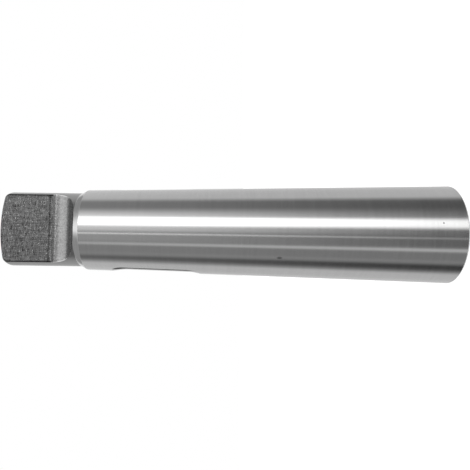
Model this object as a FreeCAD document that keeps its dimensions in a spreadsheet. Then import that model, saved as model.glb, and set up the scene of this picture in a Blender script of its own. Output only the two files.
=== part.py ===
"""Morse taper sleeve, number 3 taper outside and number 2 socket inside.

One turned and ground piece of hardened steel. It stands on its big end face, with the
tang up. The origin is the middle of that face, +Z runs along the axis to the tang, the
two tang flats face +Y and -Y, and the drift slot runs through nearly along X, turned a
few degrees from the flats, because it is milled in a setting of its own.
"""
import FreeCAD, Part
import math
import os
import Sketcher

# Driving dimensions, in millimetres unless the note says otherwise.
SIZES = [
    ("sleeve_length", "112", "end face to the tip of the tang"),
    ("shank_gauge_diameter", "23.825", "outside diameter at the gauge plane"),
    ("shank_gauge_height", "18", "gauge plane above the end face"),
    ("shank_taper", "0.0502", "outside diameter lost per millimetre of length"),
    ("shank_top", "91", "where the ground taper ends"),
    ("collar_top", "92.5", "where the short cone above the taper meets the tang"),
    ("collar_rounding", "0.3", "radius on both edges of the short cone"),
    ("end_face_bevel", "0.4", "bevel on the outer rim of the end face"),
    ("tang_diameter", "18.5", "diameter the tang is turned to"),
    ("tang_thickness", "7.9", "across the two flats"),
    ("tang_flat_length", "12.9", "straight part of each flat"),
    ("tang_cove_radius", "7", "cutter radius at the root of each flat"),
    ("tang_dome_radius", "35", "dome on the end of the tang"),
    ("tang_corner_radius", "1.2", "rounding between the dome and the side"),
    ("socket_diameter", "17.78", "taper socket at the end face"),
    ("socket_taper", "0.04995", "socket diameter lost per millimetre of depth"),
    ("socket_bevel", "0.5", "bevel on the mouth of the socket"),
    ("pilot_diameter", "14.9", "plain bore above the taper socket"),
    ("pilot_depth", "67", "end face to the top of the plain bore"),
    ("drill_point_angle", "118", "cone left by the drill, in degrees"),
    ("slot_width", "6.6", "drift slot, between its two flat walls"),
    ("slot_length", "22", "drift slot, along Z"),
    ("slot_foot", "62.9", "end face to the near end of the drift slot"),
    ("slot_edge_bevel", "0.3", "bevel round both mouths of the drift slot"),
    ("slot_turn", "4", "drift slot turned about the axis from the tang's flats, in degrees"),
]

# Numbers by which a sketch knows its own origin and its two axes.
SKETCH_ORIGIN = -1
SKETCH_ACROSS_AXIS = -1
SKETCH_UP_AXIS = -2

# Numbers by which a sketch knows the points of a line or an arc.
FIRST_POINT = 1
LAST_POINT = 2
CENTRE_POINT = 3

SHANK_FOOT_RADIUS = "(Sizes.shank_gauge_diameter + Sizes.shank_taper * Sizes.shank_gauge_height) / 2"
SHANK_TOP_RADIUS = (
    "(Sizes.shank_gauge_diameter - Sizes.shank_taper * (Sizes.shank_top - Sizes.shank_gauge_height)) / 2"
)
TANG_RADIUS = "Sizes.tang_diameter / 2"
DOME_CENTRE = "Sizes.sleeve_length - Sizes.tang_dome_radius"
DOME_EDGE = DOME_CENTRE + " + sqrt(pow(Sizes.tang_dome_radius; 2) - pow(Sizes.tang_diameter / 2; 2))"

SOCKET_RADIUS = "Sizes.socket_diameter / 2"
PILOT_RADIUS = "Sizes.pilot_diameter / 2"
PILOT_START = "(Sizes.socket_diameter - Sizes.pilot_diameter) / Sizes.socket_taper"
DRILL_TIP = "Sizes.pilot_depth + Sizes.pilot_diameter / 2 / tan(Sizes.drill_point_angle / 2 * 1 deg)"

HALF_TANG = "Sizes.tang_thickness / 2"
FLAT_FOOT = "Sizes.sleeve_length - Sizes.tang_flat_length"
COVE_CENTRE_Y = "Sizes.tang_thickness / 2 + Sizes.tang_cove_radius"
COVE_FOOT = "Sizes.sleeve_length - Sizes.tang_flat_length - Sizes.tang_cove_radius"
ABOVE_TANG = "Sizes.sleeve_length + Sizes.tang_thickness"

HALF_SLOT = "Sizes.slot_width / 2"
SLOT_LOWER_CENTRE = "Sizes.slot_foot + Sizes.slot_width / 2"
SLOT_UPPER_CENTRE = "Sizes.slot_foot + Sizes.slot_length - Sizes.slot_width / 2"

THROUGH_BOTH_SIDES = "Sizes.shank_gauge_diameter * 2"

# A sketch's own upward direction. A sketch stood on an upright plane turns about it to
# turn about the sleeve's axis.
SKETCH_UP = FreeCAD.Vector(0, 1, 0)

# How near, in millimetres, counts as touching when an edge is looked for.
TOUCH = 1e-4


def make_sheet(doc):
    """The spreadsheet that every sketch and feature reads its sizes from."""
    sheet = doc.addObject("Spreadsheet::Sheet", "Sizes")
    for row, (name, value, note) in enumerate(SIZES, start=1):
        sheet.set(f"A{row}", name)
        sheet.set(f"B{row}", value)
        sheet.set(f"C{row}", note)
        sheet.setAlias(f"B{row}", name)
    doc.recompute()
    return sheet


def value_of(thing, expression):
    """The number that an expression on the sheet's cells gives."""
    return float(thing.evalExpression(expression))


def new_sketch(body, name, role):
    """A sketch on one of the body's own origin planes."""
    plane = next(part for part in body.Origin.OriginFeatures if part.Role == role)
    sketch = body.newObject("Sketcher::SketchObject", name)
    sketch.AttachmentSupport = [(plane, "")]
    sketch.MapMode = "FlatFace"
    return sketch


def place(sketch, expressions):
    """The place in the sketch that a pair of expressions gives."""
    across, up = (value_of(sketch, expression) for expression in expressions)
    return FreeCAD.Vector(across, up, 0)


def bind(sketch, kind, geometry, expression):
    """Adds a sized constraint and ties it to the sheet."""
    size = value_of(sketch, expression)
    index = sketch.addConstraint(Sketcher.Constraint(kind, *geometry, size))
    sketch.setExpression(f"Constraints[{index}]", expression)


def pin(sketch, geometry, point, expressions):
    """Holds a point at its distances across and up from the sketch's origin."""
    axes = (SKETCH_UP_AXIS, SKETCH_ACROSS_AXIS)
    for kind, expression, zero_axis in zip(("DistanceX", "DistanceY"), expressions, axes):
        if expression == "0":
            sketch.addConstraint(Sketcher.Constraint("PointOnObject", geometry, point, zero_axis))
        else:
            bind(sketch, kind, (SKETCH_ORIGIN, FIRST_POINT, geometry, point), expression)


def add_lines(sketch, corners):
    """Joined straight lines through corners that are pinned; returns their numbers."""
    lines = []
    for start, end in zip(corners, corners[1:]):
        straight = Part.LineSegment(place(sketch, start), place(sketch, end))
        line = sketch.addGeometry(straight, False)
        if lines:
            join(sketch, lines[-1], LAST_POINT, line, FIRST_POINT)
        else:
            pin(sketch, line, FIRST_POINT, start)
        pin(sketch, line, LAST_POINT, end)
        lines.append(line)
    return lines


def join(sketch, first, first_point, second, second_point, kind="Coincident"):
    """Makes two points of a sketch the same point, or with Tangent a smooth join."""
    sketch.addConstraint(Sketcher.Constraint(kind, first, first_point, second, second_point))


def add_arc(sketch, centre, start, end):
    """An anticlockwise arc; the caller joins its ends and sets its size."""
    middle = place(sketch, centre)
    spokes = [place(sketch, point) - middle for point in (start, end)]
    first, last = (math.atan2(spoke.y, spoke.x) for spoke in spokes)
    if last < first:
        last += 2 * math.pi
    circle = Part.Circle(middle, FreeCAD.Vector(0, 0, 1), spokes[0].Length)
    return sketch.addGeometry(Part.ArcOfCircle(circle, first, last), False)


def turn_blank(body):
    """The outside, turned in one piece: end face, taper, short cone, tang and its dome."""
    sketch = new_sketch(body, "BlankProfile", "XZ_Plane")
    outline = [
        ("0", "Sizes.sleeve_length"),
        ("0", "0"),
        (SHANK_FOOT_RADIUS, "0"),
        (SHANK_TOP_RADIUS, "Sizes.shank_top"),
        (TANG_RADIUS, "Sizes.collar_top"),
        (TANG_RADIUS, DOME_EDGE),
    ]
    lines = add_lines(sketch, outline)
    dome = add_arc(sketch, ("0", DOME_CENTRE), outline[-1], outline[0])
    join(sketch, dome, FIRST_POINT, lines[-1], LAST_POINT)
    join(sketch, dome, LAST_POINT, lines[0], FIRST_POINT)
    bind(sketch, "Radius", (dome,), "Sizes.tang_dome_radius")
    blank = body.newObject("PartDesign::Revolution", "TurnedBlank")
    blank.Profile = sketch
    blank.ReferenceAxis = (sketch, ["V_Axis"])
    return blank


def bore_socket(body):
    """The taper socket, the plain pilot bore above it and the drill's point."""
    sketch = new_sketch(body, "SocketProfile", "XZ_Plane")
    outline = [
        ("0", "0"),
        (SOCKET_RADIUS, "0"),
        (PILOT_RADIUS, PILOT_START),
        (PILOT_RADIUS, "Sizes.pilot_depth"),
        ("0", DRILL_TIP),
    ]
    lines = add_lines(sketch, outline)
    on_axis = Part.LineSegment(place(sketch, outline[-1]), place(sketch, outline[0]))
    axis = sketch.addGeometry(on_axis, False)
    join(sketch, lines[-1], LAST_POINT, axis, FIRST_POINT)
    join(sketch, axis, LAST_POINT, lines[0], FIRST_POINT)
    socket = body.newObject("PartDesign::Groove", "Socket")
    socket.Profile = sketch
    socket.ReferenceAxis = (sketch, ["V_Axis"])
    return socket


def cut_through(body, name, sketch):
    """A pocket that runs both ways from the middle plane and out through the sides."""
    pocket = body.newObject("PartDesign::Pocket", name)
    pocket.Profile = sketch
    pocket.SideType = "Symmetric"
    pocket.setExpression("Length", THROUGH_BOTH_SIDES)
    return pocket


def mill_tang(body):
    """The two flats of the tang, each running out in a round cove."""
    sketch = new_sketch(body, "TangFlats", "YZ_Plane")
    for side in (1, -1):
        flat = f"{side} * ({HALF_TANG})"
        outer = f"{side} * ({COVE_CENTRE_Y})"
        corners = [(outer, COVE_FOOT), (outer, ABOVE_TANG), (flat, ABOVE_TANG), (flat, FLAT_FOOT)]
        lines = add_lines(sketch, corners)
        ends = [(lines[-1], LAST_POINT, corners[-1]), (lines[0], FIRST_POINT, corners[0])]
        if side < 0:
            ends.reverse()
        cove = add_arc(sketch, (outer, FLAT_FOOT), ends[0][2], ends[1][2])
        join(sketch, cove, FIRST_POINT, ends[0][0], ends[0][1])
        join(sketch, cove, LAST_POINT, ends[1][0], ends[1][1])
        bind(sketch, "Radius", (cove,), "Sizes.tang_cove_radius")
    return cut_through(body, "TangMilling", sketch)


def mill_drift_slot(body):
    """The round-ended slot through both walls, where a wedge drives the tool out."""
    sketch = new_sketch(body, "DriftSlot", "YZ_Plane")
    right = HALF_SLOT
    left = f"-({HALF_SLOT})"
    lower = SLOT_LOWER_CENTRE
    upper = SLOT_UPPER_CENTRE
    top = add_arc(sketch, ("0", upper), (right, upper), (left, upper))
    bottom = add_arc(sketch, ("0", lower), (left, lower), (right, lower))
    sides = []
    for across, start, end in ((left, upper, lower), (right, lower, upper)):
        ends = [place(sketch, (across, height)) for height in (start, end)]
        sides.append(sketch.addGeometry(Part.LineSegment(*ends), False))
    join(sketch, top, LAST_POINT, sides[0], FIRST_POINT, "Tangent")
    join(sketch, sides[0], LAST_POINT, bottom, FIRST_POINT, "Tangent")
    join(sketch, bottom, LAST_POINT, sides[1], FIRST_POINT, "Tangent")
    join(sketch, sides[1], LAST_POINT, top, FIRST_POINT, "Tangent")
    sketch.addConstraint(Sketcher.Constraint("Equal", top, bottom))
    pin(sketch, top, CENTRE_POINT, ("0", upper))
    pin(sketch, bottom, CENTRE_POINT, ("0", lower))
    bind(sketch, "Radius", (top,), HALF_SLOT)
    turn = FreeCAD.Rotation(SKETCH_UP, value_of(sketch, "Sizes.slot_turn"))
    sketch.AttachmentOffset = FreeCAD.Placement(FreeCAD.Vector(), turn)
    sketch.setExpression("AttachmentOffset.Rotation.Angle", "Sizes.slot_turn * 1 deg")
    return cut_through(body, "DriftSlotMilling", sketch)


def rim_edges(feature, height, radius):
    """Names of the full circles about the axis at a height and of a radius."""
    names = []
    for number, edge in enumerate(feature.Shape.Edges, start=1):
        if edge.Degenerated or not edge.isClosed() or not isinstance(edge.Curve, Part.Circle):
            continue
        if abs(edge.Curve.Center.z - height) < TOUCH and abs(edge.Curve.Radius - radius) < TOUCH:
            names.append(f"Edge{number}")
    return names


def slot_mouth_edges(feature):
    """Names of the edges where the slot's walls come out through the ground taper."""
    foot = value_of(feature, "Sizes.slot_foot") - TOUCH
    head = value_of(feature, "Sizes.slot_foot + Sizes.slot_length") + TOUCH
    foot_radius = value_of(feature, SHANK_FOOT_RADIUS)
    slope = value_of(feature, "Sizes.shank_taper / 2")

    def on_shank(point):
        off_surface = math.hypot(point.x, point.y) - (foot_radius - slope * point.z)
        return foot < point.z < head and abs(off_surface) < TOUCH

    names = []
    for number, edge in enumerate(feature.Shape.Edges, start=1):
        if edge.Degenerated:
            continue
        middle = (edge.FirstParameter + edge.LastParameter) / 2
        samples = (edge.FirstParameter, middle, edge.LastParameter)
        if all(on_shank(edge.valueAt(sample)) for sample in samples):
            names.append(f"Edge{number}")
    return names


def dress(body, kind, name, edges, size_name, size):
    """A fillet or a chamfer on named edges of the body's newest feature."""
    dressing = body.newObject(kind, name)
    dressing.Base = (dressing.BaseFeature, edges)
    dressing.setExpression(size_name, "Sizes." + size)
    return dressing


def settle(doc, body, feature, cuts=True):
    """Recomputes, and stops the build if a feature failed or changed the volume the wrong way."""
    before = feature.BaseFeature.Shape.Volume if feature.BaseFeature else 0.0
    doc.recompute()
    if {"Invalid", "Error"} & set(feature.State):
        raise RuntimeError(f"{feature.Name} failed")
    change = feature.Shape.Volume - before
    if (change < 0) != cuts or abs(change) < TOUCH:
        raise RuntimeError(f"{feature.Name} changed the volume by {change:.4f}")
    if body.Tip != feature:
        raise RuntimeError(f"{feature.Name} isn't the newest feature of its body")
    print(f"{feature.Name:18s} {change:10.1f} cubic millimetres")


def build_sleeve(doc):
    """The whole sleeve, in the order in which it is machined."""
    body = doc.addObject("PartDesign::Body", "Sleeve")
    body.Label = "taper_sleeve"
    blank = turn_blank(body)
    settle(doc, body, blank, cuts=False)

    dome_rim = rim_edges(blank, value_of(blank, DOME_EDGE), value_of(blank, TANG_RADIUS))
    corner = dress(body, "PartDesign::Fillet", "TangCorner", dome_rim, "Radius", "tang_corner_radius")
    settle(doc, body, corner)

    shank_rim = rim_edges(corner, value_of(blank, "Sizes.shank_top"), value_of(blank, SHANK_TOP_RADIUS))
    shank_end = dress(body, "PartDesign::Fillet", "ShankEnd", shank_rim, "Radius", "collar_rounding")
    settle(doc, body, shank_end)

    tang_root = rim_edges(shank_end, value_of(blank, "Sizes.collar_top"), value_of(blank, TANG_RADIUS))
    root_fillet = dress(body, "PartDesign::Fillet", "TangRoot", tang_root, "Radius", "collar_rounding")
    settle(doc, body, root_fillet, cuts=False)

    settle(doc, body, bore_socket(body))
    settle(doc, body, mill_tang(body))
    milled = mill_drift_slot(body)
    settle(doc, body, milled)
    mouths = slot_mouth_edges(milled)
    slot_bevel = dress(body, "PartDesign::Chamfer", "SlotBevel", mouths, "Size", "slot_edge_bevel")
    settle(doc, body, slot_bevel)

    outer_rim = rim_edges(slot_bevel, 0.0, value_of(blank, SHANK_FOOT_RADIUS))
    end_bevel = dress(body, "PartDesign::Chamfer", "EndFaceBevel", outer_rim, "Size", "end_face_bevel")
    settle(doc, body, end_bevel)

    mouth_rim = rim_edges(end_bevel, 0.0, value_of(blank, SOCKET_RADIUS))
    settle(doc, body, dress(body, "PartDesign::Chamfer", "SocketBevel", mouth_rim, "Size", "socket_bevel"))
    return body


def export(doc, body):
    """Checks every object of the document, then writes the sleeve's own file."""
    for thing in doc.Objects:
        if {"Invalid", "Error"} & set(thing.State):
            raise RuntimeError(f"{thing.Name} is in state {thing.State}")
    shape = body.Shape
    if shape.isNull() or not shape.isValid() or len(shape.Solids) != 1:
        raise RuntimeError(f"{body.Label} isn't one valid solid")
    os.makedirs("parts", exist_ok=True)
    shape.exportStep(f"parts/{body.Label}.step")
    box = shape.optimalBoundingBox()
    print(f"{body.Label}: {box.XLength:.2f} x {box.YLength:.2f} x {box.ZLength:.2f} mm")


def main():
    doc = FreeCAD.newDocument("taper_sleeve")
    make_sheet(doc)
    body = build_sleeve(doc)
    export(doc, body)


main()
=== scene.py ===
"""A Morse taper sleeve, ready to render: one piece of ground steel with a milled tang.

The sleeve stands on its big end face. The origin is the middle of that face, +Z runs up
the axis to the tang, the tang's flats face +Y and -Y, and the drift slot runs through
nearly along X, turned a few degrees from the flats. Lengths are in metres.
"""

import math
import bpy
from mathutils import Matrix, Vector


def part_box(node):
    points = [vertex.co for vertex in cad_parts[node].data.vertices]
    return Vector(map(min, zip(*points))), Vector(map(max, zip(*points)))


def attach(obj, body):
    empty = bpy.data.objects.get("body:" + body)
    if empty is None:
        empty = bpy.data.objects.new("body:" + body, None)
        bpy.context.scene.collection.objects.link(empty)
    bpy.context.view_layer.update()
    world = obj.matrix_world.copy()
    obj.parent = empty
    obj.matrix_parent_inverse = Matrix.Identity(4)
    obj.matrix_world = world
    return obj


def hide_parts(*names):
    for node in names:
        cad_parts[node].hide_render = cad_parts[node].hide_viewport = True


bl_info = {
    "name": "Morse Taper Sleeve",
    "version": (1, 0, 0),
    "blender": (4, 5, 0),
    "location": "3D View > Sidebar > Taper Sleeve",
    "description": "Builds a ground steel taper sleeve and a plain white studio for it",
    "category": "Add Mesh",
}

import bpy
from bpy.props import FloatProperty, IntProperty, PointerProperty
from bpy.types import Operator, Panel, PropertyGroup
from mathutils import Matrix, Vector

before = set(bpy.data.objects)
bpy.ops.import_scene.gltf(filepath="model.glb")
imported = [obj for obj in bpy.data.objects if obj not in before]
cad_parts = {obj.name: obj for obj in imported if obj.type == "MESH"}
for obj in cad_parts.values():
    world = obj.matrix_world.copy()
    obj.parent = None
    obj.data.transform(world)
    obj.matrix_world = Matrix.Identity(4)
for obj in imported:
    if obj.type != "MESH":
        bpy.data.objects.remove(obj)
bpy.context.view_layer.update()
FOOT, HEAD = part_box("taper_sleeve")

MM = 0.001
TURN = 2 * math.pi

# Points nearer than this, in metres, are one point.
SAME_PLACE = 1e-7

# Faces that meet at more than this angle have a sharp edge between them.
SHARPEST_SMOOTH_BEND = math.radians(14)

# Half the diameter that the tang is turned to, and the straight length of its flats.
TANG_RADIUS = 9.25 * MM
FLAT_LENGTH = 12.9 * MM

# What each face was made by. The codes are kept on the faces until they get their finish.
GROUND = 1
BEVELLED = 2
TURNED = 3
MILLED = 4
COVED = 5
SLOTTED = 6
BORED = 7


def length(name, description, default):
    """A size in metres that the sidebar shows in the scene's own unit."""
    return FloatProperty(
        name=name, description=description, default=default, min=0.0, precision=5,
        unit="LENGTH", subtype="DISTANCE",
    )


def share(name, description, default, top=1.0):
    """A plain number from nothing up to a top."""
    return FloatProperty(name=name, description=description, default=default, min=0.0, max=top)


def angle(name, description, default):
    """An angle, given in degrees and kept in radians."""
    return FloatProperty(
        name=name, description=description, default=math.radians(default),
        unit="ROTATION", subtype="ANGLE",
    )


class SleeveShape(PropertyGroup):
    """Sizes of the sleeve, as it is machined."""

    sleeve_length: length("Length", "End face to the tip of the tang", HEAD.z - FOOT.z)
    foot_radius: length("Foot Radius", "Radius of the ground taper at the end face", 12.3643 * MM)
    taper: share("Taper", "Outside diameter lost per unit of length", 0.0502)
    shank_top: length("Shank Top", "Where the ground taper ends", 91 * MM)
    collar_top: length("Collar Top", "Where the short cone meets the tang", 92.5 * MM)
    collar_rounding: length("Collar Rounding", "Radius on both edges of the short cone", 0.3 * MM)
    end_bevel: length("End Bevel", "Bevel on the rim of the end face", 0.4 * MM)
    tang_radius: length("Tang Radius", "Half the diameter the tang is turned to", TANG_RADIUS)
    tang_thickness: length("Tang Thickness", "Across the two flats", 7.9 * MM)
    flat_length: length("Flat Length", "Straight part of each flat", FLAT_LENGTH)
    cove_radius: length("Cove Radius", "Cutter radius at the root of each flat", 7 * MM)
    dome_radius: length("Dome Radius", "Dome on the end of the tang", 35 * MM)
    corner_radius: length("Corner Radius", "Rounding between the dome and the side", 1.2 * MM)
    socket_radius: length("Socket Radius", "Half the taper socket's width at the end face", 8.89 * MM)
    socket_taper: share("Socket Taper", "Socket diameter lost per unit of depth", 0.04995)
    socket_bevel: length("Socket Bevel", "Bevel on the mouth of the socket", 0.5 * MM)
    pilot_radius: length("Pilot Radius", "Half the plain bore above the taper socket", 7.45 * MM)
    pilot_depth: length("Pilot Depth", "End face to the top of the plain bore", 67 * MM)
    drill_angle: angle("Drill Angle", "Full angle of the cone left by the drill", 118)
    slot_width: length("Slot Width", "Drift slot, side to side", 6.6 * MM)
    slot_length: length("Slot Length", "Drift slot, end to end", 22 * MM)
    slot_foot: length("Slot Foot", "End face to the near end of the drift slot", 62.9 * MM)
    slot_bevel: length("Slot Bevel", "Bevel round both mouths of the drift slot", 0.3 * MM)
    slot_turn: angle("Slot Turn", "Drift slot turned about the axis from the tang's flats", 4)
    segments: IntProperty(name="Segments", description="Facets round the sleeve", default=320, min=32)


# The name of each input of the tree, and the property that fills it.
TREE_SIZES = (
    ("Sleeve Length", "sleeve_length"),
    ("Foot Radius", "foot_radius"),
    ("Taper", "taper"),
    ("Shank Top", "shank_top"),
    ("Collar Top", "collar_top"),
    ("Collar Rounding", "collar_rounding"),
    ("End Bevel", "end_bevel"),
    ("Tang Radius", "tang_radius"),
    ("Tang Thickness", "tang_thickness"),
    ("Flat Length", "flat_length"),
    ("Cove Radius", "cove_radius"),
    ("Dome Radius", "dome_radius"),
    ("Corner Radius", "corner_radius"),
    ("Socket Radius", "socket_radius"),
    ("Socket Taper", "socket_taper"),
    ("Socket Bevel", "socket_bevel"),
    ("Pilot Radius", "pilot_radius"),
    ("Pilot Depth", "pilot_depth"),
    ("Drill Angle", "drill_angle"),
    ("Slot Width", "slot_width"),
    ("Slot Length", "slot_length"),
    ("Slot Foot", "slot_foot"),
    ("Slot Bevel", "slot_bevel"),
    ("Slot Turn", "slot_turn"),
)


# ---------------------------------------------------------------- building trees


def feed(tree, socket, value):
    """Gives a node's input a number, a colour, a socket or a worked-out term."""
    if isinstance(value, Term):
        value = value.source
    if isinstance(value, bpy.types.NodeSocket):
        tree.links.new(value, socket)
    else:
        socket.default_value = value


class Term:
    """A number in a tree. Arithmetic on it adds Math nodes, so formulas read as formulas."""

    def __init__(self, tree, source):
        self.tree = tree
        self.source = source

    def work(self, operation, *others):
        node = self.tree.nodes.new("ShaderNodeMath")
        node.operation = operation
        for socket, value in zip(node.inputs, (self, *others)):
            feed(self.tree, socket, value)
        return Term(self.tree, node.outputs[0])

    def __add__(self, other):
        return self.work("ADD", other)

    def __radd__(self, other):
        return self.work("ADD", other)

    def __sub__(self, other):
        return self.work("SUBTRACT", other)

    def __rsub__(self, other):
        return Term(self.tree, other).work("SUBTRACT", self)

    def __mul__(self, other):
        return self.work("MULTIPLY", other)

    def __rmul__(self, other):
        return self.work("MULTIPLY", other)

    def __truediv__(self, other):
        return self.work("DIVIDE", other)

    def __rtruediv__(self, other):
        return Term(self.tree, other).work("DIVIDE", self)

    def __neg__(self):
        return self.work("MULTIPLY", -1.0)

    def root(self):
        return self.work("SQRT")

    def sine(self):
        return self.work("SINE")

    def cosine(self):
        return self.work("COSINE")

    def size(self):
        return self.work("ABSOLUTE")

    def sign(self):
        return self.work("SIGN")

    def over(self, other):
        return self.work("GREATER_THAN", other)

    def under(self, other):
        return self.work("LESS_THAN", other)


def put(tree, kind, inputs=None, **settings):
    """Adds a node, sets it up, and feeds its inputs by name or by number."""
    node = tree.nodes.new(kind)
    for name, value in settings.items():
        setattr(node, name, value)
    for key, value in (inputs or {}).items():
        feed(tree, node.inputs[key], value)
    return node


def from_xyz(tree, x, y, z):
    """The vector with these three parts."""
    return put(tree, "ShaderNodeCombineXYZ", {"X": x, "Y": y, "Z": z}).outputs[0]


def to_xyz(tree, vector):
    """The three parts of a vector."""
    node = put(tree, "ShaderNodeSeparateXYZ", {0: vector})
    return [Term(tree, socket) for socket in node.outputs]


def ramp(tree, value, start, end, low=0.0, high=1.0, smooth=True):
    """A number that goes from low to high while the value goes from start to end."""
    node = put(
        tree, "ShaderNodeMapRange",
        {"Value": value, "From Min": start, "From Max": end, "To Min": low, "To Max": high},
        interpolation_type="SMOOTHSTEP" if smooth else "LINEAR",
    )
    return Term(tree, node.outputs[0])


def new_tree(name, kind, inputs, outputs):
    """A node group with its inputs and outputs; returns the tree, its inputs and its output node."""
    tree = bpy.data.node_groups.new(name, kind)
    for in_out, sockets in (("INPUT", inputs), ("OUTPUT", outputs)):
        for label, socket_kind in sockets:
            tree.interface.new_socket(name=label, in_out=in_out, socket_type=socket_kind)
    given = tree.nodes.new("NodeGroupInput")
    result = tree.nodes.new("NodeGroupOutput")
    terms = {socket.name: Term(tree, socket) for socket in given.outputs if socket.name}
    return tree, terms, result


# ---------------------------------------------------------------- the sleeve's shape


def points_in_row(tree, count, position):
    """A row of points, each placed by its own number."""
    points = put(tree, "GeometryNodePoints", {"Count": count, "Position": position})
    return points.outputs[0]


def pick(tree, index, places):
    """The place of that number in a list of places."""
    node = tree.nodes.new("GeometryNodeIndexSwitch")
    node.data_type = "VECTOR"
    while len(node.index_switch_items) < len(places):
        node.index_switch_items.new()
    feed(tree, node.inputs["Index"], index)
    for number, place in enumerate(places, start=1):
        feed(tree, node.inputs[number], place)
    return node.outputs[0]


def pick_corner(tree, index, corners):
    """The corner of that number in a list of (radius, height) pairs."""
    return pick(tree, index, [from_xyz(tree, radius, 0.0, height) for radius, height in corners])


def choose(tree, test, if_true, if_false):
    """One of two places, by a test."""
    inputs = {"Switch": test, "True": if_true, "False": if_false}
    return put(tree, "GeometryNodeSwitch", inputs, input_type="VECTOR").outputs[0]


def close_seams(tree, geometry):
    """Merges the points that lie on each other, along seams and at the ends of the axis."""
    node = put(tree, "GeometryNodeMergeByDistance", {"Geometry": geometry, "Distance": SAME_PLACE})
    return node.outputs[0]


def turning_tree():
    """A group that turns a row of points about the Z axis into a closed shape."""
    tree, given, result = new_tree(
        "Turned Shape", "GeometryNodeTree",
        [("Profile", "NodeSocketGeometry"), ("Segments", "NodeSocketInt")],
        [("Mesh", "NodeSocketGeometry")],
    )
    size = put(tree, "GeometryNodeAttributeDomainSize", {0: given["Profile"]}, component="POINTCLOUD")
    rows = Term(tree, size.outputs["Point Count"])
    grid = put(
        tree, "GeometryNodeMeshGrid",
        {"Size X": 1.0, "Size Y": 1.0, "Vertices X": given["Segments"] + 1, "Vertices Y": rows},
    )
    place = tree.nodes.new("GeometryNodeInputPosition")
    across, along, _ = to_xyz(tree, place.outputs[0])
    row = ((along + 0.5) * (rows - 1)).work("ROUND")
    sample = put(
        tree, "GeometryNodeSampleIndex",
        {"Geometry": given["Profile"], "Value": place.outputs[0], "Index": row},
        data_type="FLOAT_VECTOR", domain="POINT",
    )
    radius, _, height = to_xyz(tree, sample.outputs[0])
    turn = across * TURN
    moved = put(
        tree, "GeometryNodeSetPosition",
        {"Geometry": grid.outputs["Mesh"],
         "Position": from_xyz(tree, radius * turn.cosine(), radius * turn.sine(), height)},
    )
    feed(tree, result.inputs["Mesh"], close_seams(tree, moved.outputs[0]))
    return tree


def turn_profile(tree, turning, profile, segments):
    """Places the turning group in a tree and gives it a profile."""
    node = tree.nodes.new("GeometryNodeGroup")
    node.node_tree = turning
    feed(tree, node.inputs["Profile"], profile)
    feed(tree, node.inputs["Segments"], segments)
    return node.outputs[0]


def mark(tree, geometry, code, selection=None):
    """Writes down what the faces were made by."""
    inputs = {"Geometry": geometry, "Name": "made_by", "Value": code}
    if selection is not None:
        inputs["Selection"] = selection
    node = put(tree, "GeometryNodeStoreNamedAttribute", inputs, data_type="INT", domain="FACE")
    return node.outputs[0]


def face_place(tree):
    """Where a face is: the three parts of its middle."""
    return to_xyz(tree, tree.nodes.new("GeometryNodeInputPosition").outputs[0])


def blank_shape(tree, given, turning):
    """The outside of the sleeve, turned: end face, taper, short cone, tang, corner and dome."""
    corner_steps = 8
    dome_steps = 12
    fillet_steps = 4
    a_little = 0.1 * MM
    foot = given["Foot Radius"]
    slope = given["Taper"] / 2
    bevel = given["End Bevel"]
    tang = given["Tang Radius"]
    shank_top_radius = foot - slope * given["Shank Top"]

    # The rounded corner touches the tang's side and, from inside, the dome.
    corner = given["Corner Radius"]
    reach = given["Dome Radius"] - corner
    corner_middle = tang - corner
    rise = (reach * reach - corner_middle * corner_middle).root()
    dome_middle = given["Sleeve Length"] - given["Dome Radius"]
    dome_edge_angle = corner_middle.work("ARCTAN2", rise)

    index = Term(tree, tree.nodes.new("GeometryNodeInputIndex").outputs[0])
    corners = [
        (0.0, 0.0),
        (foot - bevel, 0.0),
        (foot - slope * bevel, bevel),
        (shank_top_radius, given["Shank Top"]),
        (tang, given["Collar Top"]),
    ]
    straight = pick_corner(tree, index, corners)

    step = index - len(corners)
    corner_angle = step / corner_steps * (TURN / 4 - dome_edge_angle)
    corner_place = from_xyz(
        tree, corner_middle + corner * corner_angle.cosine(), 0.0,
        dome_middle + rise + corner * corner_angle.sine(),
    )
    step = index - (len(corners) + corner_steps)
    dome_angle = dome_edge_angle * (1 - step / dome_steps)
    dome_place = from_xyz(
        tree, given["Dome Radius"] * dome_angle.sine(), 0.0,
        dome_middle + given["Dome Radius"] * dome_angle.cosine(),
    )
    curved = choose(tree, index.under(len(corners) + corner_steps), corner_place, dome_place)
    place = choose(tree, index.under(len(corners)), straight, curved)
    row = points_in_row(tree, len(corners) + corner_steps + dome_steps + 1, place)

    line = put(tree, "GeometryNodePointsToCurves", {"Points": row, "Weight": index})
    on_collar = index.over(len(corners) - 2.5) * index.under(len(corners) - 0.5)
    rounded = put(
        tree, "GeometryNodeFilletCurve",
        {"Curve": line.outputs[0], "Count": fillet_steps, "Radius": on_collar * given["Collar Rounding"]},
        mode="POLY",
    )
    profile = put(tree, "GeometryNodeCurveToPoints", {"Curve": rounded.outputs[0]}, mode="EVALUATED")
    blank = turn_profile(tree, turning, profile.outputs[0], given["Segments"])

    _, _, height = face_place(tree)
    blank = mark(tree, blank, GROUND)
    blank = mark(tree, blank, BEVELLED, height.under(given["End Bevel"]))
    blank = mark(tree, blank, BEVELLED, height.over(given["Shank Top"] - given["Collar Rounding"]))
    return mark(tree, blank, TURNED, height.over(given["Collar Top"] + a_little))


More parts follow.
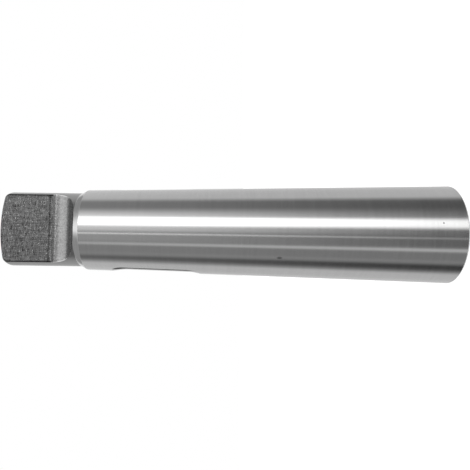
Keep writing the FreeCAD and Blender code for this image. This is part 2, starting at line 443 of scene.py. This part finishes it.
def socket_shape(tree, given, turning):
    """The cutter for the inside: taper socket, its bevel, plain bore and drill point."""
    below = 2 * MM
    slope = given["Socket Taper"] / 2
    mouth = given["Socket Radius"]
    bevel = given["Socket Bevel"]
    pilot = given["Pilot Radius"]
    pilot_start = (mouth - pilot) / slope
    tip = given["Pilot Depth"] + pilot / (given["Drill Angle"] / 2).work("TANGENT")
    index = Term(tree, tree.nodes.new("GeometryNodeInputIndex").outputs[0])
    corners = [
        (0.0, -below),
        (mouth + bevel + below, -below),
        (mouth - slope * bevel, bevel),
        (pilot, pilot_start),
        (pilot, given["Pilot Depth"]),
        (0.0, tip),
    ]
    row = points_in_row(tree, len(corners), pick_corner(tree, index, corners))
    cutter = turn_profile(tree, turning, row, given["Segments"])
    _, _, height = face_place(tree)
    cutter = mark(tree, cutter, BORED)
    return mark(tree, cutter, BEVELLED, height.under(given["Socket Bevel"]))


def ring_shape(tree, count, rings):
    """A closed shape skinned over rings of points; each ring's place is a field of the grid.

    The first and the last ring are drawn together into a point, which closes the ends.
    """
    grid = put(
        tree, "GeometryNodeMeshGrid",
        {"Size X": 1.0, "Size Y": 1.0, "Vertices X": count + 1, "Vertices Y": len(rings)},
    )
    _, along, _ = face_place(tree)
    number = ((along + 0.5) * (len(rings) - 1)).work("ROUND")
    skin = put(
        tree, "GeometryNodeSetPosition",
        {"Geometry": grid.outputs["Mesh"], "Position": pick(tree, number, rings)},
    )
    return close_seams(tree, skin.outputs[0])


def tang_cutter(tree, given, side):
    """The cutter that leaves one flat and its cove, swept along X."""
    cove_steps = 24
    flat = given["Tang Thickness"] / 2
    cove = given["Cove Radius"]
    outer = flat + cove * 2
    bottom = given["Sleeve Length"] - given["Flat Length"] - cove
    top = given["Sleeve Length"] + cove
    index = Term(tree, tree.nodes.new("GeometryNodeInputIndex").outputs[0])
    corners = [(flat, top), (flat, bottom), (outer, bottom), (outer, top)]
    row = points_in_row(tree, len(corners), pick_corner(tree, index, corners))
    line = put(tree, "GeometryNodePointsToCurves", {"Points": row, "Weight": index})
    looped = put(tree, "GeometryNodeSetSplineCyclic", {"Geometry": line.outputs[0], "Cyclic": True})
    at_root = index.over(0.5) * index.under(1.5)
    outline = put(
        tree, "GeometryNodeFilletCurve",
        {"Curve": looped.outputs[0], "Count": cove_steps, "Radius": at_root * cove},
        mode="POLY",
    )
    size = put(tree, "GeometryNodeAttributeDomainSize", {0: outline.outputs[0]}, component="CURVE")
    count = Term(tree, size.outputs["Point Count"])
    place = tree.nodes.new("GeometryNodeInputPosition").outputs[0]
    round_it, _, _ = to_xyz(tree, place)
    number = ((round_it + 0.5) * count).work("ROUND").work("MODULO", count)
    sample = put(
        tree, "GeometryNodeSampleIndex",
        {"Geometry": outline.outputs[0], "Value": place, "Index": number},
        data_type="FLOAT_VECTOR", domain="POINT",
    )
    across, _, height = to_xyz(tree, sample.outputs[0])
    reach = given["Foot Radius"] * 2
    middle_across = (flat + outer) / 2 * side
    middle_height = (bottom + top) / 2
    rings = [
        from_xyz(tree, -reach, middle_across, middle_height),
        from_xyz(tree, -reach, across * side, height),
        from_xyz(tree, reach, across * side, height),
        from_xyz(tree, reach, middle_across, middle_height),
    ]
    cutter = ring_shape(tree, count, rings)
    if side < 0:
        cutter = put(tree, "GeometryNodeFlipFaces", {"Mesh": cutter}).outputs[0]
    _, _, height = face_place(tree)
    cutter = mark(tree, cutter, MILLED)
    return mark(tree, cutter, COVED, height.under(given["Sleeve Length"] - given["Flat Length"]))


def slot_cutter(tree, given):
    """The cutter for the drift slot, flared at both mouths so that it leaves a bevel."""
    count = 96
    overshoot = 0.5 * MM
    half_width = given["Slot Width"] / 2
    half_run = (given["Slot Length"] - given["Slot Width"]) / 2
    middle = given["Slot Foot"] + given["Slot Length"] / 2
    slope = given["Taper"] / 2
    bevel = given["Slot Bevel"]
    round_it, _, _ = face_place(tree)
    turn = ((round_it + 0.5) * count + 0.5) / count * TURN

    def outline(grown):
        radius = half_width + grown
        across = radius * turn.cosine()
        height = middle + turn.sine().sign() * half_run + radius * turn.sine()
        shank = given["Foot Radius"] - slope * height
        surface = (shank * shank - across * across).root()
        return across, height, surface

    across, height, surface = outline(0.0)
    wide_across, wide_height, wide_surface = outline(bevel + overshoot)
    far = given["Foot Radius"] + bevel * 4
    rings = [
        from_xyz(tree, -far, 0.0, middle),
        from_xyz(tree, -(wide_surface + overshoot), wide_across, wide_height),
        from_xyz(tree, -(surface - bevel), across, height),
        from_xyz(tree, surface - bevel, across, height),
        from_xyz(tree, wide_surface + overshoot, wide_across, wide_height),
        from_xyz(tree, far, 0.0, middle),
    ]
    cutter = ring_shape(tree, count, rings)
    away, _, _ = face_place(tree)
    cutter = mark(tree, cutter, SLOTTED)
    cutter = mark(tree, cutter, BEVELLED, away.size().over(half_width * 2))
    turned = from_xyz(tree, 0.0, 0.0, given["Slot Turn"])
    turner = put(tree, "GeometryNodeTransform", {"Geometry": cutter, "Rotation": turned})
    return turner.outputs[0]


def sleeve_tree(finishes):
    """The whole sleeve: the turned blank, less the socket, the tang's cutters and the slot."""
    inputs = [(label, "NodeSocketFloat") for label, _ in TREE_SIZES]
    inputs.append(("Segments", "NodeSocketInt"))
    tree, given, result = new_tree(
        "Taper Sleeve", "GeometryNodeTree", inputs, [("Geometry", "NodeSocketGeometry")],
    )
    turning = turning_tree()
    shape = blank_shape(tree, given, turning)
    cutters = [
        socket_shape(tree, given, turning),
        tang_cutter(tree, given, 1),
        tang_cutter(tree, given, -1),
        slot_cutter(tree, given),
    ]
    for cutter in cutters:
        cut = put(
            tree, "GeometryNodeMeshBoolean", {"Mesh 1": shape}, operation="DIFFERENCE", solver="EXACT",
        )
        tree.links.new(cutter, cut.inputs["Mesh 2"])
        shape = cut.outputs["Mesh"]
    smooth = put(tree, "GeometryNodeSetShadeSmooth", {"Geometry": shape, "Shade Smooth": True}, domain="FACE")
    bend = tree.nodes.new("GeometryNodeInputMeshEdgeAngle").outputs["Unsigned Angle"]
    crease = Term(tree, bend).over(SHARPEST_SMOOTH_BEND)
    sharp = put(
        tree, "GeometryNodeSetShadeSmooth",
        {"Geometry": smooth.outputs[0], "Selection": crease, "Shade Smooth": False}, domain="EDGE",
    )
    realized = put(tree, "GeometryNodeRealizeInstances", {"Geometry": sharp.outputs[0]})
    shape = realized.outputs[0]
    made_by = put(tree, "GeometryNodeInputNamedAttribute", {"Name": "made_by"}, data_type="INT")
    code = Term(tree, made_by.outputs["Attribute"])
    for number, material in finishes:
        chosen = (code - number).size().under(0.5)
        node = put(
            tree, "GeometryNodeSetMaterial",
            {"Geometry": shape, "Selection": chosen, "Material": material},
        )
        shape = node.outputs[0]
    feed(tree, result.inputs["Geometry"], shape)
    return tree


def bake(shape):
    """Turns what the modifier makes into the object's own mesh, and takes the modifier away."""
    depsgraph = bpy.context.evaluated_depsgraph_get()
    mesh = bpy.data.meshes.new_from_object(
        shape.evaluated_get(depsgraph), preserve_all_data_layers=True, depsgraph=depsgraph,
    )
    shape.modifiers.clear()
    shape.data = mesh
    mesh.name = shape.name
    return mesh


def true_taper_normals(mesh, sizes):
    """Gives the ground taper the normals of a true cone, also where the cuts meet it."""
    slope = sizes.taper / 2
    made_by = [item.value for item in mesh.attributes["made_by"].data]
    normals = [corner.vector.copy() for corner in mesh.corner_normals]
    top = sizes.shank_top - sizes.collar_rounding
    for face, code in zip(mesh.polygons, made_by):
        if code != GROUND or face.center.z > top or face.center.z < sizes.end_bevel:
            continue
        for corner in face.loop_indices:
            place = mesh.vertices[mesh.loops[corner].vertex_index].co
            out = Vector((place.x, place.y, 0)).normalized()
            normals[corner] = (out + Vector((0, 0, slope))).normalized()
    mesh.normals_split_custom_set(normals)


# ---------------------------------------------------------------- finishes


def grey(value):
    """An opaque neutral colour."""
    return (value, value, value, 1.0)


def grain_group():
    """A shader group: noise drawn out into grain, by the size of a grain along X, Y and Z."""
    tree, given, result = new_tree(
        "Grain", "ShaderNodeTree",
        [("Place", "NodeSocketVector"), ("Size", "NodeSocketVector")],
        [("Grain", "NodeSocketFloat")],
    )
    scaled = put(
        tree, "ShaderNodeVectorMath", {0: given["Place"], 1: given["Size"]}, operation="DIVIDE",
    )
    noise = put(
        tree, "ShaderNodeTexNoise",
        {"Vector": scaled.outputs[0], "Scale": 1.0, "Detail": 3.0, "Roughness": 0.6},
        noise_dimensions="3D",
    )
    feed(tree, result.inputs["Grain"], Term(tree, noise.outputs[0]) - 0.5)
    return tree


def glint_speck_group():
    """A shader group: a mask of small specks, scattered at random, used for painted glints."""
    tree, given, result = new_tree(
        "Glint Specks", "ShaderNodeTree",
        [("Place", "NodeSocketVector"), ("Size", "NodeSocketFloat"), ("Share", "NodeSocketFloat")],
        [("Glint Specks", "NodeSocketFloat")],
    )
    scaled = put(
        tree, "ShaderNodeVectorMath", {0: given["Place"], "Scale": 1 / given["Size"]}, operation="SCALE",
    )
    noise = put(
        tree, "ShaderNodeTexNoise", {"Vector": scaled.outputs[0], "Scale": 1.0, "Detail": 2.0},
        noise_dimensions="3D",
    )
    edge = 1 - given["Share"]
    glint_specks = ramp(tree, Term(tree, noise.outputs[0]), edge, edge + 0.08)
    feed(tree, result.inputs["Glint Specks"], glint_specks)
    return tree


def painted_edge_line_group():
    """A shader group: a thin line where a face comes out at a given radius, used for painted shade along the
    flats' edges and a painted highlight along the coves' edges.
    """
    tree, given, result = new_tree(
        "Painted Edge Line", "ShaderNodeTree",
        [("Place", "NodeSocketVector"), ("Radius", "NodeSocketFloat"), ("Width", "NodeSocketFloat")],
        [("Line", "NodeSocketFloat")],
    )
    east, north, _ = to_xyz(tree, given["Place"])
    depth = given["Radius"] - (east * east + north * north).root()
    feed(tree, result.inputs["Line"], ramp(tree, depth, given["Width"], given["Width"] * 0.3))
    return tree


def nick_group():
    """A shader group: a small worn mark on the surface, longer one way than the other."""
    tree, given, result = new_tree(
        "Nick", "ShaderNodeTree",
        [("Place", "NodeSocketVector"), ("Middle", "NodeSocketVector"), ("Reach", "NodeSocketVector")],
        [("Mark", "NodeSocketFloat")],
    )
    away = put(tree, "ShaderNodeVectorMath", {0: given["Place"], 1: given["Middle"]}, operation="SUBTRACT")
    scaled = put(tree, "ShaderNodeVectorMath", {0: away.outputs[0], 1: given["Reach"]}, operation="DIVIDE")
    size = put(tree, "ShaderNodeVectorMath", {0: scaled.outputs[0]}, operation="LENGTH")
    feed(tree, result.inputs["Mark"], ramp(tree, Term(tree, size.outputs["Value"]), 1.0, 0.3))
    return tree


# The gloss of turned steel is stretched at right angles to the tool's lines.
QUARTER_TURN = 0.25


class Finish:
    """A bare metal material, with the groups placed in it as they are called for."""

    def __init__(self, name, groups, roughness, anisotropic=0.0):
        self.material = bpy.data.materials.new(name)
        self.material.use_nodes = True
        self.tree = self.material.node_tree
        self.groups = groups
        self.shader = self.tree.nodes["Principled BSDF"]
        self.shader.inputs["Metallic"].default_value = 1.0
        self.shader.inputs["Specular Tint"].default_value = grey(0.88)
        self.shader.inputs["Roughness"].default_value = roughness
        self.shader.inputs["Anisotropic"].default_value = anisotropic
        self.place = put(self.tree, "ShaderNodeTexCoord").outputs["Object"]

    def effect(self, name, **inputs):
        """Places a group and returns what it puts out."""
        node = put(self.tree, "ShaderNodeGroup", None, node_tree=self.groups[name], label=name)
        feed(self.tree, node.inputs["Place"], self.place)
        for key, value in inputs.items():
            feed(self.tree, node.inputs[key.title()], value)
        return Term(self.tree, node.outputs[0])

    def grain(self, x, y, z):
        """Grain of these sizes in millimetres. It varies about nothing, by up to a half."""
        return self.effect("Grain", size=(x * MM, y * MM, z * MM))

    def tone(self, value):
        """Sets the base colour to a neutral of this value."""
        value = value.work("MAXIMUM", 0.0)
        mix = put(self.tree, "ShaderNodeCombineColor", {"Red": value, "Green": value, "Blue": value})
        feed(self.tree, self.shader.inputs["Base Color"], mix.outputs[0])

    def roughness(self, value):
        """Lets the roughness vary over the surface."""
        feed(self.tree, self.shader.inputs["Roughness"], value)

    def bump(self, height, depth):
        """Raises the surface by a height between 0 and 1, times a depth in millimetres."""
        inputs = {"Height": height, "Distance": depth * MM, "Strength": 1.0}
        node = put(self.tree, "ShaderNodeBump", inputs)
        feed(self.tree, self.shader.inputs["Normal"], node.outputs[0])

    def painted_root_shade(self, start, end):
        """A soft band across the tang, from start to end, used to paint shade at the roots of the flats and
        coves.

        Both are in millimetres above the line where the flats meet their coves.
        """
        _, _, height = to_xyz(self.tree, self.place)
        above = (height - (HEAD.z - FLAT_LENGTH)) / MM
        off_middle = (above - (start + end) / 2).size()
        width = abs(start - end)
        return ramp(self.tree, off_middle, width / 2, width / 5)

    def turned_lines(self):
        """Stretches the gloss across lines that run round the axis."""
        self.shader.inputs["Anisotropic Rotation"].default_value = QUARTER_TURN
        tangent = put(self.tree, "ShaderNodeTangent", direction_type="RADIAL", axis="Z")
        feed(self.tree, self.shader.inputs["Tangent"], tangent.outputs[0])


# The marks on the ground taper: where each one is, and how far it reaches along X, Y and Z.
WORN_NICK = {"middle": (-6.65 * MM, -9.1 * MM, 43.7 * MM), "reach": (0.5 * MM, 0.5 * MM, 0.9 * MM)}
SMALL_DOT = {"middle": (1.85 * MM, -12.1 * MM, 6.1 * MM), "reach": (0.3 * MM, 0.4 * MM, 0.3 * MM)}


def ground_steel(look, groups):
    """The outside taper, ground round and round."""
    finish = Finish("ground_steel", groups, look.ground_roughness, 0.95)
    finish.turned_lines()
    wheel_lines = finish.grain(9, 9, 0.12)
    coarse_lines = finish.grain(14, 14, 0.9)
    clouds = finish.grain(7, 7, 12)
    nick = finish.effect("Nick", **WORN_NICK)
    dot = finish.effect("Nick", **SMALL_DOT)
    worn = 1 - nick * 0.5 - dot * 0.6
    finish.tone((look.ground_tone + wheel_lines * 0.08 + coarse_lines * 0.04 + clouds * 0.03) * worn)
    finish.roughness(look.ground_roughness + coarse_lines * 0.08 + wheel_lines * 0.08 + nick * 0.1)
    finish.bump(wheel_lines - nick * 2 - dot * 2, 0.0015)
    return finish.material


def turned_steel(look, groups):
    """The tang's sides and its dome, left as they were turned, and dark from hardening."""
    finish = Finish("turned_tang", groups, look.turned_roughness, 0.5)
    finish.turned_lines()
    tool_lines = finish.grain(6, 6, 0.2)
    clouds = finish.grain(3, 3, 3)
    finish.tone(look.turned_tone + tool_lines * 0.06 + clouds * 0.08)
    finish.roughness(look.turned_roughness + clouds * 0.15)
    finish.bump(tool_lines, 0.004)
    return finish.material


def milled_steel(look, groups):
    """The tang's flats: close cutter ridges across the axis, with small smoother specks whose lighter colour
    is a painted glint.
    """
    finish = Finish("milled_tang", groups, look.milled_roughness)
    ridges = finish.grain(0.9, 1.6, 0.17)
    cross = finish.grain(0.16, 0.6, 2.4)
    clouds = finish.grain(2.2, 2.2, 3.0)
    # The specks' lift in colour is a painted glint; their lower roughness and their bump are the metal's own.
    glint_specks = finish.effect("Glint Specks", size=0.24 * MM, share=0.36)
    # Painted shade: a dark line along the edges of the flats.
    painted_edge_line = finish.effect("Painted Edge Line", radius=TANG_RADIUS, width=0.45 * MM)
    tone = look.milled_tone * (1 + ridges * 3.4 + cross * 1.8 + clouds * 1.0)
    # Painted shade: a darker band on the flats just above the line where they meet their coves.
    root = finish.painted_root_shade(1.1, 0.5)
    finish.tone((tone + glint_specks * 0.3) * (1 - painted_edge_line * 0.85) * (1 - root * 0.5))
    finish.roughness(look.milled_roughness + clouds * 0.2 - glint_specks * 0.15)
    finish.bump(ridges + cross * 0.6 + glint_specks * 0.4, 0.05)
    return finish.material


def coved_steel(look, groups):
    """The round coves at the roots of the flats, scored lengthwise by the cutter."""
    finish = Finish("coved_tang", groups, look.cove_roughness)
    scores = finish.grain(0.18, 1.2, 2.4)
    chatter = finish.grain(0.5, 0.3, 0.3)
    # Painted highlight: a light line along the edges of the coves.
    painted_edge_line = finish.effect("Painted Edge Line", radius=TANG_RADIUS, width=0.3 * MM)
    # Painted shade: a dark band across the line where each flat meets its cove.
    root = finish.painted_root_shade(0.9, -0.9)
    finish.tone((look.cove_tone * (1 + scores * 0.9 + chatter * 1.2) + painted_edge_line * 0.2) * (1 - root * 0.75))
    finish.roughness(look.cove_roughness + chatter * 0.2)
    finish.bump(scores + chatter * 0.7, 0.03)
    return finish.material


def bevel_steel(look, groups):
    """Narrow turned bevels and the short cone above the ground taper."""
    finish = Finish("turned_bevel", groups, look.bevel_roughness, 0.8)
    finish.turned_lines()
    tool_lines = finish.grain(8, 8, 0.15)
    finish.tone(look.bevel_tone + tool_lines * 0.2)
    finish.roughness(look.bevel_roughness + tool_lines * 0.1)
    finish.bump(tool_lines, 0.004)
    return finish.material


def slot_steel(look, groups):
    """The walls of the drift slot, milled and dull."""
    finish = Finish("slot_wall", groups, look.slot_roughness)
    ridges = finish.grain(0.25, 3, 3)
    clouds = finish.grain(2, 2, 2)
    finish.tone(look.slot_tone + ridges * 0.1 + clouds * 0.1)
    finish.roughness(look.slot_roughness + clouds * 0.1)
    finish.bump(ridges, 0.02)
    return finish.material


def bored_steel(look, groups):
    """The inside of the socket, ground round and round."""
    finish = Finish("bored_socket", groups, look.bored_roughness, 0.8)
    finish.turned_lines()
    tool_lines = finish.grain(8, 8, 0.2)
    finish.tone(look.bored_tone + tool_lines * 0.1)
    finish.roughness(look.bored_roughness + tool_lines * 0.1)
    finish.bump(tool_lines, 0.003)
    return finish.material


class SteelLook(PropertyGroup):
    """Tones and roughness of the steel's finishes."""

    ground_tone: share("Ground Tone", "Reflectance of the ground taper", 0.4)
    ground_roughness: share("Ground Roughness", "Roughness of the ground taper", 0.20)
    turned_tone: share("Turned Tone", "Reflectance of the tang's turned sides", 0.24)
    turned_roughness: share("Turned Roughness", "Roughness of the tang's turned sides", 0.36)
    milled_tone: share("Milled Tone", "Reflectance of the tang's flats", 0.085)
    milled_roughness: share("Milled Roughness", "Roughness of the tang's flats", 0.4)
    cove_tone: share("Cove Tone", "Reflectance of the tang's coves", 0.27)
    cove_roughness: share("Cove Roughness", "Roughness of the tang's coves", 0.2)
    bevel_tone: share("Bevel Tone", "Reflectance of the narrow bevels", 0.52)
    bevel_roughness: share("Bevel Roughness", "Roughness of the narrow bevels", 0.20)
    slot_tone: share("Slot Tone", "Reflectance of the slot's walls", 0.24)
    slot_roughness: share("Slot Roughness", "Roughness of the slot's walls", 0.4)
    bored_tone: share("Bored Tone", "Reflectance of the socket", 0.36)
    bored_roughness: share("Bored Roughness", "Roughness of the socket", 0.3)


# ---------------------------------------------------------------- the studio


class StudioLook(PropertyGroup):
    """Light and floor."""

    room: share("Room", "Light from the dim room round the sleeve", 0.325, 10.0)
    ceiling: share("Ceiling", "Light from the ceiling of the room", 0.44, 10.0)
    overhead: share("Overhead", "Light from the soft lamp over the sleeve", 1.1, 10.0)
    floor_width: length("Floor Width", "Width of the floor", 4.0)


def degrees_from(azimuth, middle):
    """How far an azimuth is from another, the short way round, in degrees."""
    return (azimuth - middle).work("WRAP", 180.0, -180.0).size()


def panel_group():
    """A shader group: one tall soft panel of light that stands at an angle round the sleeve.

    Slope makes it brighter towards its top, or with a minus sign towards its foot.
    """
    tree, given, result = new_tree(
        "Soft Panel", "ShaderNodeTree",
        [("Azimuth", "NodeSocketFloat"), ("Rise", "NodeSocketFloat"), ("Middle", "NodeSocketFloat"),
         ("Half Width", "NodeSocketFloat"), ("Edge", "NodeSocketFloat"), ("Strength", "NodeSocketFloat"),
         ("Slope", "NodeSocketFloat")],
        [("Light", "NodeSocketFloat")],
    )
    away = degrees_from(given["Azimuth"], given["Middle"])
    light = ramp(tree, away, given["Half Width"] + given["Edge"], given["Half Width"] - given["Edge"])
    light = light * given["Strength"] * (1 + given["Rise"] * given["Slope"])
    feed(tree, result.inputs["Light"], light)
    return tree


# The light from the room grows by this much towards the ceiling, up to these sines of elevation.
ROOM_SLOPE = 1.3
HIGHEST_RISE = 0.4
LOWEST_RISE = -0.45

# Elevations, in degrees, between which the ceiling takes over and the overhead lamp comes up.
CEILING_EDGE = (27.0, 36.0)
OVERHEAD_EDGE = (38.0, 48.0)

# The overhead lamp's azimuth, and how far to each side it fades, in degrees.
OVERHEAD_AZIMUTH = -75
OVERHEAD_FADE = (75.0, 15.0)

# The white backdrop's azimuth, and how far to each side it fades, in degrees.
BACKDROP_AZIMUTH = 83
BACKDROP_FADE = (93.0, 75.0)

# Name; middle, half width and softness of the edge in degrees; strength; slope.
PANELS = (
    ("Backdrop", BACKDROP_AZIMUTH, 84, 9, 0.6, 0.1),
    ("Backdrop Middle", 60, 40, 20, 0.12, -1.2),
    ("Key", -69, 10.5, 6, 2.9, 0.9),
    ("Key Glow", -58, 16, 17, 0.85, 2.0),
    ("Key Spill", -88, 7, 5, 0.4, 2.6),
    ("Near Fill", -103, 21, 5, 0.155, 1.4),
    ("Far Fill", -146, 22, 4, 0.105, -2.9),
    ("Upper Bar", -102.5, 1.4, 1.3, 0.9, 1.6),
    ("Lower Bar", -130.5, 3.5, 3, 0.54, -0.5),
    ("Faint Bar", -160, 3, 4, 0.08, -1.5),
    ("Dark Card", -176, 7, 5, -0.15, 0.9),
)


def light_world(look):
    """Soft panels round the sleeve, a soft lamp overhead, and white for all that is seen directly."""
    world = bpy.data.worlds.new("studio")
    world.use_nodes = True
    tree = world.node_tree
    tree.nodes.clear()
    direction = put(tree, "ShaderNodeTexCoord").outputs["Generated"]
    east, north, up = to_xyz(tree, direction)
    azimuth = north.work("ARCTAN2", east) * (180 / math.pi)
    elevation = up.work("ARCSINE") * (180 / math.pi)
    rise = up.work("MINIMUM", HIGHEST_RISE).work("MAXIMUM", LOWEST_RISE)

    panel = panel_group()
    light = (1 + rise * ROOM_SLOPE) * look.room
    for name, middle, half_width, edge, strength, slope in PANELS:
        node = put(tree, "ShaderNodeGroup", None, node_tree=panel, label=name)
        values = {
            "Azimuth": azimuth, "Rise": rise, "Middle": middle, "Half Width": half_width,
            "Edge": edge, "Strength": strength, "Slope": slope,
        }
        for key, value in values.items():
            feed(tree, node.inputs[key], value)
        light = light + Term(tree, node.outputs[0])

    # Above the panels comes the dim ceiling, with one soft lamp in front of the sleeve.
    ceiling = ramp(tree, elevation, *CEILING_EDGE)
    light = light * (1 - ceiling) + ceiling * look.ceiling
    low_edge = ramp(tree, elevation, *OVERHEAD_EDGE)
    in_front = ramp(tree, degrees_from(azimuth, OVERHEAD_AZIMUTH), *OVERHEAD_FADE)
    light = light + low_edge * in_front * look.overhead

    path = tree.nodes.new("ShaderNodeLightPath")
    # The white backdrop behind the sleeve is there for its reflections too.
    behind = ramp(tree, degrees_from(azimuth, BACKDROP_AZIMUTH), *BACKDROP_FADE) * (1 - ceiling)
    light = light.work("MAXIMUM", behind * path.outputs["Is Glossy Ray"])
    seen = Term(tree, path.outputs["Is Camera Ray"]).work("MAXIMUM", path.outputs["Is Transmission Ray"])
    strength = light * (1 - seen) + seen
    background = put(tree, "ShaderNodeBackground", {"Color": grey(1.0), "Strength": strength})
    output = tree.nodes.new("ShaderNodeOutputWorld")
    tree.links.new(background.outputs[0], output.inputs["Surface"])
    bpy.context.scene.world = world


# The floor's own tone, and the glow that only the camera sees, which brings it up to white.
FLOOR_TONE = 0.5
FLOOR_GLOW = 0.85


def lay_floor(look):
    """A white floor under the sleeve, which keeps its shadow."""
    half = look.floor_width / 2
    mesh = bpy.data.meshes.new("floor")
    corners = [(-half, -half, 0), (half, -half, 0), (half, half, 0), (-half, half, 0)]
    mesh.from_pydata(corners, [], [(0, 1, 2, 3)])
    floor = bpy.data.objects.new("floor", mesh)
    bpy.context.scene.collection.objects.link(floor)
    material = bpy.data.materials.new("white_floor")
    material.use_nodes = True
    tree = material.node_tree
    shader = tree.nodes["Principled BSDF"]
    shader.inputs["Base Color"].default_value = grey(FLOOR_TONE)
    shader.inputs["Roughness"].default_value = 1.0
    shader.inputs["Specular IOR Level"].default_value = 0.0
    shader.inputs["Emission Color"].default_value = grey(1.0)
    path = tree.nodes.new("ShaderNodeLightPath")
    glow = Term(tree, path.outputs["Is Camera Ray"]) * FLOOR_GLOW
    feed(tree, shader.inputs["Emission Strength"], glow)
    mesh.materials.append(material)
    floor.visible_glossy = False


# The camera lies on its side, so that the standing sleeve runs across the picture.
CAMERA_PLACE = (-0.00852, -0.11862, 0.05530)
CAMERA_RIGHT = (0.01286, -0.01059, -0.99986)
CAMERA_UP = (0.99780, -0.06495, 0.01352)
CAMERA_LENS = 35.69
CAMERA_SENSOR = 36


def place_camera():
    """A close camera, looking at the middle of the sleeve."""
    camera_data = bpy.data.cameras.new("camera")
    camera_data.lens = CAMERA_LENS
    camera_data.sensor_width = CAMERA_SENSOR
    camera_data.clip_start = 0.01
    camera_data.clip_end = 20
    camera = bpy.data.objects.new("camera", camera_data)
    bpy.context.scene.collection.objects.link(camera)
    right = Vector(CAMERA_RIGHT).normalized()
    up = Vector(CAMERA_UP)
    up = (up - right * up.dot(right)).normalized()
    back = right.cross(up)
    turn = Matrix((right, up, back)).transposed()
    camera.matrix_world = Matrix.Translation(CAMERA_PLACE) @ turn.to_4x4()
    bpy.context.scene.camera = camera


# ---------------------------------------------------------------- operators


class SLEEVE_OT_build(Operator):
    """Build the ground steel sleeve"""

    bl_idname = "taper_sleeve.build"
    bl_label = "Build Sleeve"

    def execute(self, context):
        sizes = context.scene.sleeve_shape
        look = context.scene.steel_look
        groups = {
            "Grain": grain_group(), "Glint Specks": glint_speck_group(), "Painted Edge Line": painted_edge_line_group(), "Nick": nick_group(),
        }
        finishes = (
            (GROUND, ground_steel(look, groups)),
            (BEVELLED, bevel_steel(look, groups)),
            (TURNED, turned_steel(look, groups)),
            (MILLED, milled_steel(look, groups)),
            (COVED, coved_steel(look, groups)),
            (SLOTTED, slot_steel(look, groups)),
            (BORED, bored_steel(look, groups)),
        )
        tree = sleeve_tree(finishes)
        sleeve = bpy.data.objects.new("steel_sleeve", bpy.data.meshes.new("steel_sleeve"))
        bpy.context.scene.collection.objects.link(sleeve)
        modifier = sleeve.modifiers.new("Taper Sleeve", "NODES")
        modifier.node_group = tree
        sockets = {item.name: item.identifier for item in tree.interface.items_tree if item.in_out == "INPUT"}
        for label, name in TREE_SIZES:
            modifier[sockets[label]] = getattr(sizes, name)
        modifier[sockets["Segments"]] = sizes.segments
        mesh = bake(sleeve)
        true_taper_normals(mesh, sizes)
        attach(sleeve, "root")
        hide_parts("taper_sleeve")
        return {"FINISHED"}


class SLEEVE_OT_stage(Operator):
    """Set up the floor, the light and the camera"""

    bl_idname = "taper_sleeve.stage"
    bl_label = "Set Stage"

    def execute(self, context):
        look = context.scene.studio_look
        lay_floor(look)
        light_world(look)
        place_camera()
        context.scene.view_settings.view_transform = "Standard"
        return {"FINISHED"}


class SLEEVE_PT_sidebar(Panel):
    """Everything a user would change, and the buttons that build it"""

    bl_idname = "SLEEVE_PT_sidebar"
    bl_label = "Taper Sleeve"
    bl_space_type = "VIEW_3D"
    bl_region_type = "UI"
    bl_category = "Taper Sleeve"

    def draw(self, context):
        scene = context.scene
        for holder, operator in (
            (scene.sleeve_shape, "taper_sleeve.build"),
            (scene.steel_look, None),
            (scene.studio_look, "taper_sleeve.stage"),
        ):
            box = self.layout.box()
            for name in holder.__annotations__:
                box.prop(holder, name)
            if operator:
                box.operator(operator)


HOLDERS = (
    ("sleeve_shape", SleeveShape),
    ("steel_look", SteelLook),
    ("studio_look", StudioLook),
)
CLASSES = (SleeveShape, SteelLook, StudioLook, SLEEVE_OT_build, SLEEVE_OT_stage, SLEEVE_PT_sidebar)


def register():
    for kind in CLASSES:
        bpy.utils.register_class(kind)
    for name, kind in HOLDERS:
        setattr(bpy.types.Scene, name, PointerProperty(type=kind))


def unregister():
    for name, _ in HOLDERS:
        delattr(bpy.types.Scene, name)
    for kind in reversed(CLASSES):
        bpy.utils.unregister_class(kind)


def main():
    register()
    bpy.ops.taper_sleeve.build()
    bpy.ops.taper_sleeve.stage()


if __name__ == "__main__":
    main()
